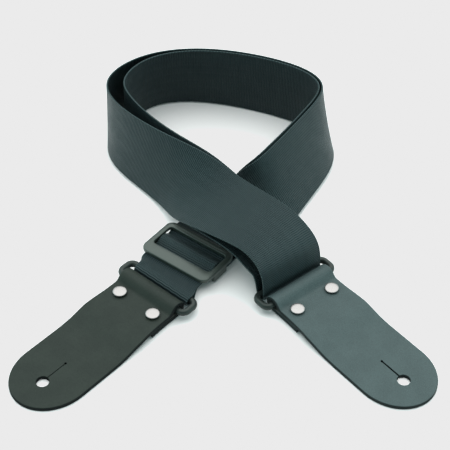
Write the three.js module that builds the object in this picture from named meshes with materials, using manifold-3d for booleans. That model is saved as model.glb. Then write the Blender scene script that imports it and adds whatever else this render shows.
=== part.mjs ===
// Guitar strap. One long piece of seat-belt webbing is sewn round the left ring, runs through the
// adjuster, makes one loop, goes through the right ring and comes all the way back as a second,
// inner layer that is sewn round the adjuster's centre bar. A leather end hangs on each ring.
//
// Millimetres, +Z up. The strap lies on a table: the loop of webbing stands on edge, the band
// crosses over itself at the front, and the two leather ends point forwards (-Y) and outwards.

import * as THREE from 'three';
import { mergeVertices } from 'three/addons/utils/BufferGeometryUtils.js';
import Module from 'manifold-3d';

const wasm = await Module();
wasm.setup();

// ---------------------------------------------------------------- driving dimensions

const floorCentre = { x: -1, y: -10.2, z: 0 };     // middle of the strap's footprint on the table

const webbing = { width: 49, thickness: 1.2 };
const play = 0.25;                                // clear space between parts that touch

const bar = { radius: 2.3, height: 6.4 };         // ring bars: section radius, height of their axes
const ring = { length: 57.4, depth: 12, corner: 4 };   // rounded rectangle of the bar's centre line

const leather = { thickness: 3, halfWidth: 25, length: 114.5, tailLength: 24 };
const neck = { halfWidth: 21.5, start: -8, end: 6, flareEnd: 34 };      // the narrower part by the ring
const leafGap = 0.2;                              // between the leather's tail and its long leaf
const leatherLands = 60;                          // from here to the tip the leather lies on the table
const leatherTip = { start: 85.5, length: leather.length - 85.5 };     // half an ellipse
const button = { hole: 94.5, radius: 4.1, slitEnd: 75.5, slitWidth: 0.9, stopRadius: 1 };
const rivet = { fromBar: 13.5, halfSpacing: 14.6, capRadius: 4.8, capHeight: 1.7, postRadius: 1.3 };

const adjuster = { length: 54.5, depth: 32, corner: 6, thickness: 2.8, top: 10 };
const window_ = { length: 49.4, depth: 18.6, corner: 3.5 };
const centreBar = { halfDepth: 3, radius: 1.3, height: 2.9 };
const cheek = {
  depth: 14,
  inside: webbing.width / 2 + 0.4,
  outside: adjuster.length / 2 - 0.1,
  overlap: 0.6,
};
const channelHeight = 6.4;                        // middle of the webbing inside the adjuster
const tails = { ringLoop: -8, innerLayer: 21, barLoopLow: 26, barLoopHigh: 14.8 };     // along the adjuster
const tacks = { ringLoop: -13, barLoop: 12.5, threadHeight: 0.5 };

const floorGap = 0.9;                             // leather tail above the table, on its rivet backs

// Places in plan. A heading is the angle of a direction from +X.
const adjusterPlace = { x: -24.4, y: -34.8, heading: 52.5 };
const leftRingPlace = { x: -47.8, y: -70.5, heading: -131.4 };     // at the leather's bar
const rightRingPlace = { x: 49, y: -66.5, heading: -51.2 };

const loopSegments = 96;

// ---------------------------------------------------------------- materials

const finish = (color, roughness, metalness = 0) =>
  new THREE.MeshStandardMaterial({ color, roughness, metalness });

const materials = {
  webbing: finish(0x2a3538, 0.6),
  thread: finish(0x1b2022, 0.8),
  plastic: finish(0x3c4745, 0.4),
  leftLeather: finish(0x3c4139, 0.6),
  rightLeather: finish(0x44504e, 0.6),
  nickel: finish(0xe8e4e0, 0.2, 1),
};

// ---------------------------------------------------------------- small helpers

const radians = THREE.MathUtils.degToRad;
const up = new THREE.Vector3(0, 0, 1);
const vector = (x, y, z) => new THREE.Vector3(x, y, z);
const smooth = (k) => k * k * (3 - 2 * k);

function headingVector(degrees) {
  return vector(Math.cos(radians(degrees)), Math.sin(radians(degrees)), 0);
}

function leftOf(direction) {
  return vector(-direction.y, direction.x, 0);
}

function toSolid(geometry) {
  const bare = geometry.index ? geometry.toNonIndexed() : geometry.clone();
  bare.deleteAttribute('normal');
  bare.deleteAttribute('uv');
  const merged = mergeVertices(bare, 1e-4);
  return new wasm.Manifold(new wasm.Mesh({
    numProp: 3,
    vertProperties: new Float32Array(merged.attributes.position.array),
    triVerts: new Uint32Array(merged.index.array),
  }));
}

function toGeometry(solid) {
  const mesh = solid.getMesh();
  const geometry = new THREE.BufferGeometry();
  geometry.setAttribute('position', new THREE.BufferAttribute(mesh.vertProperties, 3));
  geometry.setIndex(new THREE.BufferAttribute(mesh.triVerts, 1));
  return geometry;
}

function extrude(outline, depth, bottom, curveSegments = 8, bevel = 0) {
  const geometry = new THREE.ExtrudeGeometry(outline, {
    depth: depth - 2 * bevel,
    bevelEnabled: bevel > 0,
    bevelThickness: bevel,
    bevelSize: bevel,
    bevelOffset: -bevel,
    bevelSegments: 1,
    curveSegments,
  });
  return geometry.translate(0, 0, bottom + bevel);
}

function cylinder(radius, height, x, y, bottom, sides = 20) {
  const geometry = new THREE.CylinderGeometry(radius, radius, height, sides);
  return geometry.rotateX(Math.PI / 2).translate(x, y, bottom + height / 2);
}

function roundedRectangle(length, depth, corner, PathClass = THREE.Shape) {
  const x = length / 2 - corner;
  const y = depth / 2 - corner;
  const outline = new PathClass();
  outline.moveTo(x + corner, -y);
  outline.absarc(x, y, corner, 0, Math.PI / 2);
  outline.absarc(-x, y, corner, Math.PI / 2, Math.PI);
  outline.absarc(-x, -y, corner, Math.PI, 1.5 * Math.PI);
  outline.absarc(x, -y, corner, 1.5 * Math.PI, 2 * Math.PI);
  return outline;
}

function mesh(name, geometry, material) {
  const part = new THREE.Mesh(geometry, material);
  part.name = name;
  return part;
}

function placed(place, ...parts) {
  const group = new THREE.Group();
  group.position.set(place.x, place.y, 0);
  group.rotation.z = radians(place.heading);
  group.add(...parts);
  return group;
}

// ---------------------------------------------------------------- the run of the webbing

const bightRadius = bar.radius + play + webbing.thickness / 2;
const descent = bightRadius - ring.depth;         // where the band comes down beside the right bar

function planPoint(place, distance) {
  const point = headingVector(place.heading).multiplyScalar(distance);
  return { x: place.x + point.x, y: place.y + point.y };
}

// The outer layer of the loop, from the adjuster round to the right ring. Each station gives the
// middle of the webbing (x, y, z), how far its top edge leans towards the inside of the loop
// (0 stands on edge, 90 lies flat), and how far inside it the second layer runs.
const stations = [
  { ...planPoint(adjusterPlace, 26), z: channelHeight, lean: 90, gap: 4.2 },
  { ...planPoint(adjusterPlace, 38), z: 7, lean: 90, gap: 4.2 },
  { x: 14.5, y: 6, z: 12, lean: 78, gap: 4 },
  { x: 32.5, y: 9, z: 19.8, lean: 42, gap: 3 },
  { x: 44.5, y: 26.5, z: 22.6, lean: 34, gap: 2.6 },
  { x: 69, y: 63, z: 24.8, lean: 29, gap: 2.4 },
  { x: 78, y: 92, z: 26.8, lean: 5, gap: 2.4 },
  { x: 55.5, y: 119.5, z: 25, lean: -4, gap: 2.4 },
  { x: -7.5, y: 142.5, z: 25.5, lean: 0, gap: 2.4 },
  { x: -62.5, y: 139, z: 25.5, lean: 8, gap: 3 },
  { x: -90.5, y: 100.5, z: 25.5, lean: -4, gap: 14 },
  { x: -80.5, y: 63, z: 26, lean: 14, gap: 12 },
  { x: -35.5, y: 26.5, z: 23.5, lean: 20, gap: 2.4 },
  { x: -12.5, y: -3.5, z: 28.5, lean: 74, gap: 3 },
  { x: 15, y: -32, z: 36.5, lean: 83, gap: 7.5 },
  { ...planPoint(rightRingPlace, descent - 19), z: 35, lean: 90, gap: 15 },
  { ...planPoint(rightRingPlace, descent - 0.2), z: 26, lean: 90, gap: 10 },
  { ...planPoint(rightRingPlace, descent), z: bar.height, lean: 90, gap: 2 * bightRadius },
];

// ---------------------------------------------------------------- webbing as a swept strip

// A strip is a box with one slice for each frame { centre, across }: the box is laid along the
// frames, its width along `across` and its thickness along the normal of the two directions.
function strip(frames) {
  const slices = frames.length - 1;
  const geometry = new THREE.BoxGeometry(1, 1, 1, slices, 1, 1);
  const position = geometry.attributes.position;
  for (let i = 0; i < position.count; i += 1) {
    const k = Math.round((position.getX(i) + 0.5) * slices);
    const before = frames[Math.max(k - 1, 0)].centre;
    const after = frames[Math.min(k + 1, slices)].centre;
    const along = after.clone().sub(before).normalize();
    const normal = along.cross(frames[k].across).normalize();
    const point = frames[k].centre.clone();
    point.addScaledVector(frames[k].across, position.getY(i) * webbing.width);
    point.addScaledVector(normal, position.getZ(i) * webbing.thickness);
    position.setXYZ(i, point.x, point.y, point.z);
  }
  return geometry;
}

// Uniform cubic B-spline of a row of numbers. It starts at the first one and ends at the last.
function bSpline(values, t) {
  const last = values.length - 1;
  const padded = [2 * values[0] - values[1], ...values, 2 * values[last] - values[last - 1]];
  const spans = padded.length - 3;
  const i = Math.min(Math.floor(t * spans), spans - 1);
  const u = t * spans - i;
  const weights = [
    (1 - u) ** 3,
    3 * u ** 3 - 6 * u ** 2 + 4,
    -3 * u ** 3 + 3 * u ** 2 + 3 * u + 1,
    u ** 3,
  ];
  return weights.reduce((sum, weight, k) => sum + (weight / 6) * padded[i + k], 0);
}

function stationVector(index) {
  const { x, y, z } = stations[THREE.MathUtils.clamp(index, 0, stations.length - 1)];
  return vector(x, y, z);
}

// The direction from the middle of the webbing to its top edge at a station.
function stationAcross({ lean }, index) {
  const along = stationVector(index + 1).sub(stationVector(index - 1)).normalize();
  const right = along.clone().cross(up).normalize();
  const upright = right.clone().cross(along);
  const angle = radians(lean);
  return upright.multiplyScalar(Math.cos(angle)).addScaledVector(right, -Math.sin(angle));
}

const stationAcrosses = stations.map(stationAcross);

function splineVector(vectors, t) {
  const read = (key) => bSpline(vectors.map((each) => each[key]), t);
  return vector(read('x'), read('y'), read('z'));
}

function outerFrame(t) {
  const small = 1e-4;
  const centre = splineVector(stations, t);
  const ahead = splineVector(stations, Math.min(t + small, 1));
  const behind = splineVector(stations, Math.max(t - small, 0));
  const across = splineVector(stationAcrosses, t).normalize();
  const outward = ahead.sub(behind).cross(across).normalize();
  return { centre, across, outward };
}

function innerFrame(t) {
  const outer = outerFrame(t);
  const gap = bSpline(stations.map((station) => station.gap), t);
  const centre = outer.centre.addScaledVector(outer.outward, -gap);
  const keepOnTable = gap * outer.outward.z * outer.across.z;
  return { centre: centre.addScaledVector(outer.across, keepOnTable), across: outer.across };
}

// Frames of a side view drawn in the adjuster's own plane: s runs along the webbing, z is height.
const adjusterAlong = headingVector(adjusterPlace.heading);

function channelFrame(s, z) {
  const centre = vector(adjusterPlace.x, adjusterPlace.y, z).addScaledVector(adjusterAlong, s);
  return { centre, across: leftOf(adjusterAlong) };
}

// The axis of a ring's inner bar, which the webbing goes round, and the way out to the leather.
function innerBar(place) {
  const outward = headingVector(place.heading);
  const axis = vector(place.x, place.y, bar.height).addScaledVector(outward, -ring.depth);
  return { axis, outward };
}

// A point of the turn round an inner bar: angle 0 is on the leather's side, 90 is on top.
function bightPoint({ axis, outward }, angle) {
  const centre = axis.clone().addScaledVector(outward, bightRadius * Math.cos(radians(angle)));
  centre.z += bightRadius * Math.sin(radians(angle));
  return centre;
}

// The sewn loop round the left ring's bar: the short tail underneath, round the bar, back on top.
// Between the bar and the straight run the webbing shears sideways, because the ring and the
// adjuster are not quite in line.
function leftLoopFrames() {
  const inner = innerBar(leftRingPlace);
  const webbingOffset = 0.3;
  const ringAcross = leftOf(inner.outward).negate();
  inner.axis.addScaledVector(ringAcross, webbingOffset);
  const tailHeight = channelHeight - webbing.thickness - play;
  const flatFrom = -18.3;
  const barAt = inner.axis.clone().sub(channelFrame(0, 0).centre).dot(adjusterAlong);
  const steps = 8;
  const run = (fraction, angle, flatHeight) => {
    const distance = (flatFrom - barAt) * fraction;
    const nearBar = bightPoint(inner, angle).addScaledVector(inner.outward, -distance);
    const flat = channelFrame(barAt + distance, flatHeight);
    const blend = smooth(fraction);
    return {
      centre: nearBar.lerp(flat.centre, blend),
      across: ringAcross.clone().lerp(flat.across, blend).normalize(),
    };
  };
  const frames = [channelFrame(tails.ringLoop, tailHeight)];
  for (let k = steps; k > 0; k -= 1) {
    frames.push(run(k / steps, -90, tailHeight));
  }
  for (let k = 0; k <= steps; k += 1) {
    frames.push({ centre: bightPoint(inner, -90 + (180 * k) / steps), across: ringAcross });
  }
  for (let k = 1; k <= steps; k += 1) {
    frames.push(run(k / steps, 90, channelHeight));
  }
  return frames;
}

// The turn round the right ring's inner bar: down on the leather's side, under, and up again.
function rightBightFrames() {
  const inner = innerBar(rightRingPlace);
  const steps = 10;
  const frames = [];
  for (let k = 1; k < steps; k += 1) {
    frames.push({
      centre: bightPoint(inner, (-180 * k) / steps),
      across: leftOf(inner.outward),
    });
  }
  return frames;
}

function makeWebbing() {
  const outer = [];
  const inner = [];
  for (let k = 0; k <= loopSegments; k += 1) {
    outer.push(outerFrame(k / loopSegments));
    inner.push(innerFrame(1 - k / loopSegments));
  }
  const innerEnd = channelFrame(tails.innerLayer, channelHeight - stations[0].gap);
  const frames = [...leftLoopFrames(), ...outer, ...rightBightFrames(), ...inner, innerEnd];
  return mesh('webbing', strip(frames), materials.webbing);
}

// The webbing's far end, folded round the adjuster's centre bar and sewn to itself. It is its own
// piece here because it travels with the adjuster.
function makeBarLoop() {
  const half = webbing.thickness / 2;
  const radius = centreBar.radius + 0.2 + half;      // a little slack round the bar
  const flat = centreBar.halfDepth - centreBar.radius;
  const low = centreBar.height - radius;
  const high = centreBar.height + radius;
  const tail = channelHeight - stations[0].gap;
  const tailFrom = 9;
  const steps = 8;
  const frames = [channelFrame(tails.barLoopLow, low), channelFrame(flat, low)];
  for (let k = 0; k <= steps; k += 1) {
    const angle = -Math.PI / 2 - Math.PI * (k / steps);
    const s = -flat + radius * Math.cos(angle);
    frames.push(channelFrame(s, centreBar.height + radius * Math.sin(angle)));
  }
  for (let k = 0; k <= steps; k += 1) {
    const s = flat + (tailFrom - flat) * (k / steps);
    frames.push(channelFrame(s, high + (tail - high) * smooth(k / steps)));
  }
  frames.push(channelFrame(tails.barLoopHigh, tail));
  return mesh('webbing_bar_loop', strip(frames), materials.webbing);
}

// ---------------------------------------------------------------- sewing

// One bar tack: a flat zigzag of thread across the webbing.
function tack(name, s, bottom) {
  const stitches = 22;
  const reach = 21;
  const rise = 1.2;
  const half = 0.3;
  const zigzag = [];
  for (let k = 0; k <= stitches; k += 1) {
    zigzag.push({ x: k % 2 ? rise : -rise, y: -reach + (2 * reach * k) / stitches });
  }
  const front = zigzag.map(({ x, y }) => new THREE.Vector2(s + x + half, y));
  const back = zigzag.map(({ x, y }) => new THREE.Vector2(s + x - half, y)).reverse();
  const outline = new THREE.Shape([...front, ...back]);
  return mesh(name, extrude(outline, tacks.threadHeight, bottom), materials.thread);
}

// ---------------------------------------------------------------- adjuster

function makeAdjuster() {
  const outline = roundedRectangle(adjuster.depth, adjuster.length, adjuster.corner);
  outline.holes.push(
    roundedRectangle(window_.depth, window_.length, window_.corner, THREE.Path),
  );
  const frameBottom = adjuster.top - adjuster.thickness;
  let solid = toSolid(extrude(outline, adjuster.thickness, frameBottom, 6, 0.5));

  const cheekThickness = cheek.outside - cheek.inside;
  const cheekBottom = centreBar.height - centreBar.radius;
  const cheekHeight = frameBottom + cheek.overlap - cheekBottom;
  const barSection = roundedRectangle(
    2 * centreBar.halfDepth,
    2 * centreBar.radius,
    centreBar.radius - 0.01,
  );
  for (const side of [-1, 1]) {
    const plate = new THREE.BoxGeometry(cheek.depth, cheekThickness, cheekHeight);
    const middle = side * (cheek.inside + cheekThickness / 2);
    plate.translate(0, middle, cheekBottom + cheekHeight / 2);
    solid = solid.add(toSolid(plate));
  }
  const barLength = 2 * cheek.inside + cheekThickness;
  const middleBar = extrude(barSection, barLength, -barLength / 2, 6);
  middleBar.rotateX(Math.PI / 2).translate(0, 0, centreBar.height);
  solid = solid.add(toSolid(middleBar));
  return mesh('tri_glide_adjuster', toGeometry(solid), materials.plastic);
}

// ---------------------------------------------------------------- rings

// A point on a rounded rectangle, and the outward direction there, at a fraction of the way round.
function rectanglePoint(fraction) {
  const straightX = ring.depth - 2 * ring.corner;
  const straightY = ring.length - 2 * ring.corner;
  const arc = (Math.PI / 2) * ring.corner;
  const total = 2 * straightX + 2 * straightY + 4 * arc;
  let rest = fraction * total;
  const corners = [
    { x: 1, y: 1, angle: 0, run: straightX },
    { x: -1, y: 1, angle: 90, run: straightY },
    { x: -1, y: -1, angle: 180, run: straightX },
    { x: 1, y: -1, angle: 270, run: straightY },
  ];
  for (const corner of corners) {
    const centre = new THREE.Vector2(corner.x * straightX, corner.y * straightY).divideScalar(2);
    const turned = Math.min(rest / arc, 1) * 90;
    const out = headingVector(corner.angle + turned);
    const forward = leftOf(out);
    const past = THREE.MathUtils.clamp(rest - arc, 0, corner.run);
    if (rest <= arc + corner.run + 1e-9) {
      return {
        x: centre.x + ring.corner * out.x + forward.x * past,
        y: centre.y + ring.corner * out.y + forward.y * past,
        out,
      };
    }
    rest -= arc + corner.run;
  }
  return rectanglePoint(0);
}

// A torus whose centre line is reshaped from a circle to the ring's rounded rectangle. Its origin
// is the axis of the bar that the leather hangs on, and the webbing's bar is at x = -depth.
function makeRing(name) {
  const around = 56;
  const section = 12;
  const geometry = new THREE.TorusGeometry(10, bar.radius, section, around);
  const position = geometry.attributes.position;
  for (let i = 0; i < position.count; i += 1) {
    const angle = Math.atan2(position.getY(i), position.getX(i));
    const outwards = Math.hypot(position.getX(i), position.getY(i)) - 10;
    const spot = rectanglePoint(((angle / (2 * Math.PI)) % 1 + 1) % 1);
    position.setXYZ(
      i,
      spot.x + spot.out.x * outwards - ring.depth / 2,
      spot.y + spot.out.y * outwards,
      position.getZ(i) + bar.height,
    );
  }
  return mesh(name, geometry, materials.plastic);
}

// ---------------------------------------------------------------- leather ends

// Plan of a leather end, along x from the ring's bar to the tip.
function leatherOutline() {
  const { halfWidth } = leather;
  const flare = { narrow: neck.end + 6, wide: neck.end + 10 };
  const cutHeight = 14;
  const outline = new THREE.Shape();
  outline.moveTo(neck.start, -neck.halfWidth);
  outline.lineTo(neck.end, -neck.halfWidth);
  outline.bezierCurveTo(
    flare.narrow, -neck.halfWidth, flare.wide, -halfWidth, neck.flareEnd, -halfWidth,
  );
  outline.lineTo(leatherTip.start, -halfWidth);
  outline.absellipse(
    leatherTip.start, 0, leatherTip.length, halfWidth, -Math.PI / 2, Math.PI / 2, false, 0,
  );
  outline.lineTo(neck.flareEnd, halfWidth);
  outline.bezierCurveTo(
    flare.wide, halfWidth, flare.narrow, neck.halfWidth, neck.end, neck.halfWidth,
  );
  outline.lineTo(neck.start, neck.halfWidth);
  outline.closePath();
  return extrude(outline, cutHeight, -1, 14);
}

// Side view of a leather end: x from the bar to the tip, y is height. The long leaf lies on top,
// runs back round the bar and ends as a short tail underneath.
function leatherProfile() {
  const { thickness, tailLength, length } = leather;
  const inner = bar.radius + play;
  const outer = inner + thickness;
  const z = bar.height;
  const tailTop = z - inner;
  const leafBottom = tailTop + leafGap;
  const leafTop = leafBottom + thickness;
  const meet = rivet.fromBar - rivet.capRadius - 0.1;
  const land = leatherLands;
  const past = length + 5;
  const soften = 4;
  const settle = (land - tailLength) / 2;
  const outline = new THREE.Shape();
  outline.moveTo(tailLength, z - outer);
  outline.lineTo(0, z - outer);
  outline.absarc(0, z, outer, 1.5 * Math.PI, 0.5 * Math.PI, true);
  outline.bezierCurveTo(soften, z + outer, meet - soften, leafTop, meet, leafTop);
  outline.lineTo(tailLength, leafTop);
  outline.bezierCurveTo(tailLength + settle, leafTop, land - settle, thickness, land, thickness);
  outline.lineTo(past, thickness);
  outline.lineTo(past, 0);
  outline.lineTo(land, 0);
  outline.bezierCurveTo(land - settle, 0, tailLength + settle, leafBottom, tailLength, leafBottom);
  outline.lineTo(meet, leafBottom);
  outline.bezierCurveTo(meet - soften, leafBottom, soften, z + inner, 0, z + inner);
  outline.absarc(0, z, inner, 0.5 * Math.PI, 1.5 * Math.PI, false);
  outline.lineTo(tailLength, tailTop);
  outline.closePath();
  const geometry = extrude(outline, 2 * leather.halfWidth + 4, -leather.halfWidth - 2, 7);
  return geometry.rotateX(Math.PI / 2);
}

function makeLeather(name, material) {
  let solid = toSolid(leatherProfile()).intersect(toSolid(leatherOutline()));
  const cuts = [
    cylinder(button.radius, 20, button.hole, 0, -5, 28),
    cylinder(button.stopRadius, 20, button.slitEnd, 0, -5, 12),
    new THREE.BoxGeometry(button.hole - button.slitEnd, button.slitWidth, 20)
      .translate((button.hole + button.slitEnd) / 2, 0, 0),
  ];
  for (const side of [-1, 1]) {
    cuts.push(cylinder(rivet.postRadius + 0.2, 20, rivet.fromBar, side * rivet.halfSpacing, -5));
  }
  for (const cut of cuts) {
    solid = solid.subtract(toSolid(cut));
  }
  return mesh(name, toGeometry(solid), material);
}

// ---------------------------------------------------------------- rivets

const leafTop = bar.height - bar.radius - play + leafGap + leather.thickness;
const capSocket = { radius: rivet.postRadius + 0.2, depth: 0.8 };

function lathe(points) {
  const profile = points.map(([x, y]) => new THREE.Vector2(x, y));
  return new THREE.LatheGeometry(profile, 24).rotateX(Math.PI / 2);
}

function rivetCap(name, side) {
  const { capRadius, capHeight } = rivet;
  const geometry = lathe([
    [0, capSocket.depth],
    [capSocket.radius, capSocket.depth],
    [capSocket.radius, 0],
    [capRadius - 0.3, 0],
    [capRadius, 0.3],
    [capRadius - 0.25, 0.8],
    [capRadius * 0.75, 1.25],
    [capRadius * 0.4, capHeight - 0.1],
    [0, capHeight],
  ]);
  const part = mesh(name, geometry, materials.nickel);
  part.position.set(rivet.fromBar, side * rivet.halfSpacing, leafTop + 0.1);
  return part;
}

function rivetPost(name, side) {
  const backRadius = 4.2;
  const backThickness = floorGap - 0.25;
  const top = leafTop + 0.1 + capSocket.depth - 0.2;
  const geometry = lathe([
    [0, 0.05],
    [backRadius - 0.2, 0.05],
    [backRadius, 0.3],
    [backRadius - 0.2, backThickness],
    [rivet.postRadius, backThickness],
    [rivet.postRadius, top],
    [0, top],
  ]);
  const part = mesh(name, geometry, materials.nickel);
  part.position.set(rivet.fromBar, side * rivet.halfSpacing, 0);
  return part;
}

// ---------------------------------------------------------------- assembly

function leatherEnd(side, place, material) {
  const parts = [makeRing(`${side}_ring`), makeLeather(`${side}_leather_end`, material)];
  [-1, 1].forEach((sign, index) => {
    parts.push(rivetCap(`${side}_rivet_cap_${index + 1}`, sign));
    parts.push(rivetPost(`${side}_rivet_post_${index + 1}`, sign));
  });
  return placed(place, ...parts);
}

const barLoopTop = channelHeight - stations[0].gap + webbing.thickness / 2;
const ringTailBottom = channelHeight - 1.5 * webbing.thickness - play;

const strap = new THREE.Group();
strap.add(makeWebbing());
strap.add(makeBarLoop());
strap.add(placed(
  adjusterPlace,
  makeAdjuster(),
  tack('bar_loop_tack', tacks.barLoop, barLoopTop + 0.1),
  tack('left_ring_tack', tacks.ringLoop, ringTailBottom - 0.1 - tacks.threadHeight),
));
strap.add(leatherEnd('left', leftRingPlace, materials.leftLeather));
strap.add(leatherEnd('right', rightRingPlace, materials.rightLeather));
strap.position.set(-floorCentre.x, -floorCentre.y, -floorCentre.z);

export default strap;
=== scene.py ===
"""The looks of the guitar strap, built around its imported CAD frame.

Lengths in this file are millimetres, in the CAD's own frame, with +Z up. `metres` turns them into
Blender's units as each mesh is made. Woven and leather pieces carry a point attribute called
"flat": where the point lies on the flat material (along, across, height through the thickness).
"""

import math

import bpy
import numpy as np
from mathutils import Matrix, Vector, geometry


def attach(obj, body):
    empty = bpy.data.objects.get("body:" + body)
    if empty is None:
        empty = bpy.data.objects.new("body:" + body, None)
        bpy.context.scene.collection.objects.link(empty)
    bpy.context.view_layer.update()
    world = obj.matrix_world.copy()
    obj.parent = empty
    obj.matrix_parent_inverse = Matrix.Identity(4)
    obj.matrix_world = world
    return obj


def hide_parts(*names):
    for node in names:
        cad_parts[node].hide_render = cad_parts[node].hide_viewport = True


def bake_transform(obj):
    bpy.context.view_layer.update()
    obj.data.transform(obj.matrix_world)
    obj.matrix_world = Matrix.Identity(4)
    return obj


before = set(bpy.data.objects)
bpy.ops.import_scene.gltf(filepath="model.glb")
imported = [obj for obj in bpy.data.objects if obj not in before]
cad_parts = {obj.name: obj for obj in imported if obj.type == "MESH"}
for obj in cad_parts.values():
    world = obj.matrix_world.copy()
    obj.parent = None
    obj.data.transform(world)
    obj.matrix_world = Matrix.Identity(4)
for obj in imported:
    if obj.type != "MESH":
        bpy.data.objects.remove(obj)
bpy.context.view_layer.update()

MM = 0.001
UP = np.array([0.0, 0.0, 1.0])
FOOTPRINT_CENTRE = np.array([-1.0, -10.2, 0.0])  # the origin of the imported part

# ---------------------------------------- driving dimensions

WIDTH = 49.0  # of the webbing
THICKNESS = 1.2
PANEL = 7.2  # between the webbing's lengthwise grooves
PLAY = 0.25  # clear space between parts that touch
BAR_RADIUS = 2.3  # of the rings' round bar
BAR_HEIGHT = 6.4
RING_LENGTH = 57.4
RING_DEPTH = 12.0
RING_CORNER = 4.0

ADJUSTER_LENGTH = 55.2
ADJUSTER_DEPTH = 33.2
ADJUSTER_CORNER = 5.6
FRAME_SHIFT = -0.7  # towards the ring
ADJUSTER_THICKNESS = 2.8
ADJUSTER_TOP = 10.0
WINDOW_LENGTH = 47.6
WINDOW_DEPTH = 19.2
WINDOW_CORNER = 2.6
WINDOW_SHIFT = 1.4  # the bar nearest the ring is the wider one
CENTRE_BAR_HALF_DEPTH = 3.0
CENTRE_BAR_RADIUS = 1.3
CENTRE_BAR_HEIGHT = 2.9
CHANNEL_HEIGHT = 6.4  # middle of the webbing inside the adjuster
RING_TAIL_HEIGHT = CHANNEL_HEIGHT - THICKNESS - PLAY

LEATHER = 3.0
LEATHER_LENGTH = 114.5
LEATHER_TAIL = 24.0
LEATHER_LANDS = 60.0
RIVET_FROM_BAR = 13.5
RIVET_HALF_SPACING = 14.6
LEAF_GAP = 0.2  # between the leather's tail and its long leaf
LEAF_TOP = BAR_HEIGHT - BAR_RADIUS - PLAY + LEAF_GAP + LEATHER

ADJUSTER_PLACE = (-24.4, -34.8, 52.5)  # x, y, heading in degrees from +X
LEFT_RING_PLACE = (-47.8, -70.5, -131.4)
RIGHT_RING_PLACE = (49.0, -66.5, -51.2)

BIGHT_RADIUS = BAR_RADIUS + PLAY + THICKNESS / 2
BIGHT_SLACK = 1.35  # how loose the webbing and the leather hang
FOLD_SLACK = 1.2  # in their turns round a ring's bars
DESCENT = BIGHT_RADIUS - RING_DEPTH

# Along the adjuster, from its middle towards the far side.
FLAT_FROM = -18.3  # the webbing lies flat from here
LOOP_FROM = 26.0  # the long loop starts here
INNER_LAYER_TO = 21.0  # and its second layer meets the sewn sleeve here
CREST = {"at": 0.9, "rise": 2.9, "reach": 4.4}  # the webbing's way over the sewn loop
DIP = {"from_crest": 7.2, "depth": 1.2, "reach": 2.4}
WINDOW_STEP = 0.7
GATHERED_AT_RING = 0.955  # the webbing is a little narrower in the fittings
GATHERED_AT_CREST = 0.94
GATHER_REACH = 8.0
SPREAD_LENGTH = 30.0  # to its full width again past the ring


# ---------------------------------------- vectors and meshes

def heading_vector(degrees):
    return np.array([math.cos(math.radians(degrees)), math.sin(math.radians(degrees)), 0.0])


def left_of(direction):
    return np.array([-direction[1], direction[0], 0.0])


def unit(vector):
    return vector / np.linalg.norm(vector)


def smooth(k):
    k = min(max(k, 0.0), 1.0)
    return k * k * (3 - 2 * k)


def metres(points):
    return (np.asarray(points, float) - FOOTPRINT_CENTRE) * MM


def place_points(place, points):
    """Points in a part's own frame (x outwards, y across) moved to their place on the table."""
    x, y, degrees = place
    along = heading_vector(degrees)
    points = np.asarray(points, float)
    return (
        np.array([x, y, 0.0])
        + points[:, :1] * along
        + points[:, 1:2] * left_of(along)
        + points[:, 2:3] * UP
    )


def facing_outwards(points, faces):
    """The faces, all reversed when they would enclose a negative volume."""
    volume = 0.0
    for face in faces:
        a = points[face[0]]
        for i in range(1, len(face) - 1):
            volume += a @ np.cross(points[face[i]], points[face[i + 1]])
    return faces if volume >= 0 else [tuple(reversed(face)) for face in faces]


def make_piece(name, points, faces, material, flat=None, sharp=40.0):
    """A mesh object from millimetre points, smooth shaded except across sharp edges."""
    points = np.asarray(points, float)
    faces = facing_outwards(points, faces)
    mesh = bpy.data.meshes.new(name)
    mesh.from_pydata(metres(points).tolist(), [], faces)
    mesh.validate()
    mesh.polygons.foreach_set("use_smooth", [True] * len(mesh.polygons))
    mesh.set_sharp_from_angle(angle=math.radians(sharp))
    if flat is not None:
        attribute = mesh.attributes.new("flat", "FLOAT_VECTOR", "POINT")
        attribute.data.foreach_set("vector", np.asarray(flat, np.float32).ravel())
    mesh.materials.append(material)
    mesh.update()
    piece = bpy.data.objects.new(name, mesh)
    bpy.context.scene.collection.objects.link(piece)
    return piece


def loft(rings, closed_along=False):
    """Quads between rings of equally many points. The ends are capped unless the rings close up."""
    count = len(rings[0])
    points = np.concatenate(rings)
    faces = []
    last = len(rings) if closed_along else len(rings) - 1
    for i in range(last):
        a = i * count
        b = ((i + 1) % len(rings)) * count
        for j in range(count):
            k = (j + 1) % count
            faces.append((a + j, a + k, b + k, b + j))
    if not closed_along:
        faces.append(tuple(reversed(range(count))))
        faces.append(tuple(range((len(rings) - 1) * count, len(rings) * count)))
    return points, faces


# ---------------------------------------- shader node helper

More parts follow.
